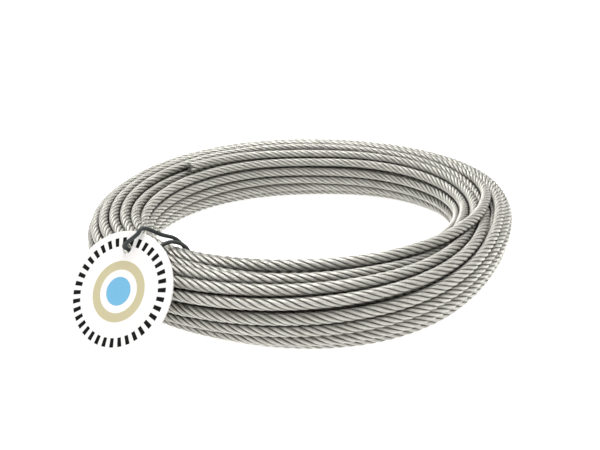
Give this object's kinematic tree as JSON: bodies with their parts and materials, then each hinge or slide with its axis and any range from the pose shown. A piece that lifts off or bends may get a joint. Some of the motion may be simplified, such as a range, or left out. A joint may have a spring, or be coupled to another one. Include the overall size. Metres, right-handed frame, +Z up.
{
  "type": "coil of wire rope",
  "caption": "Flat round coil of stranded steel wire rope with an open eye, and a round hang tag on an elastic cord.",
  "frame": {"origin": "centre of the coil on the level plane that it lies on; the tag stays inside the coil's outline box", "axes": "+Z up along the coil's axis, -Y towards the side that the picture shows, with the tag at its left"},
  "size_m": [0.2154, 0.1986, 0.043],
  "materials": {
    "rope_steel": "bright drawn stainless wire, laid in six strands",
    "tag_card": "smooth printed white card",
    "cord_elastic": "dull dark woven elastic"
  },
  "bodies": {
    "root": {"wire_rope_coil": "rope_steel", "hang_tag": "tag_card", "tag_cord": "cord_elastic", "cord_knot": "cord_elastic"}
  },
  "joints": []
}
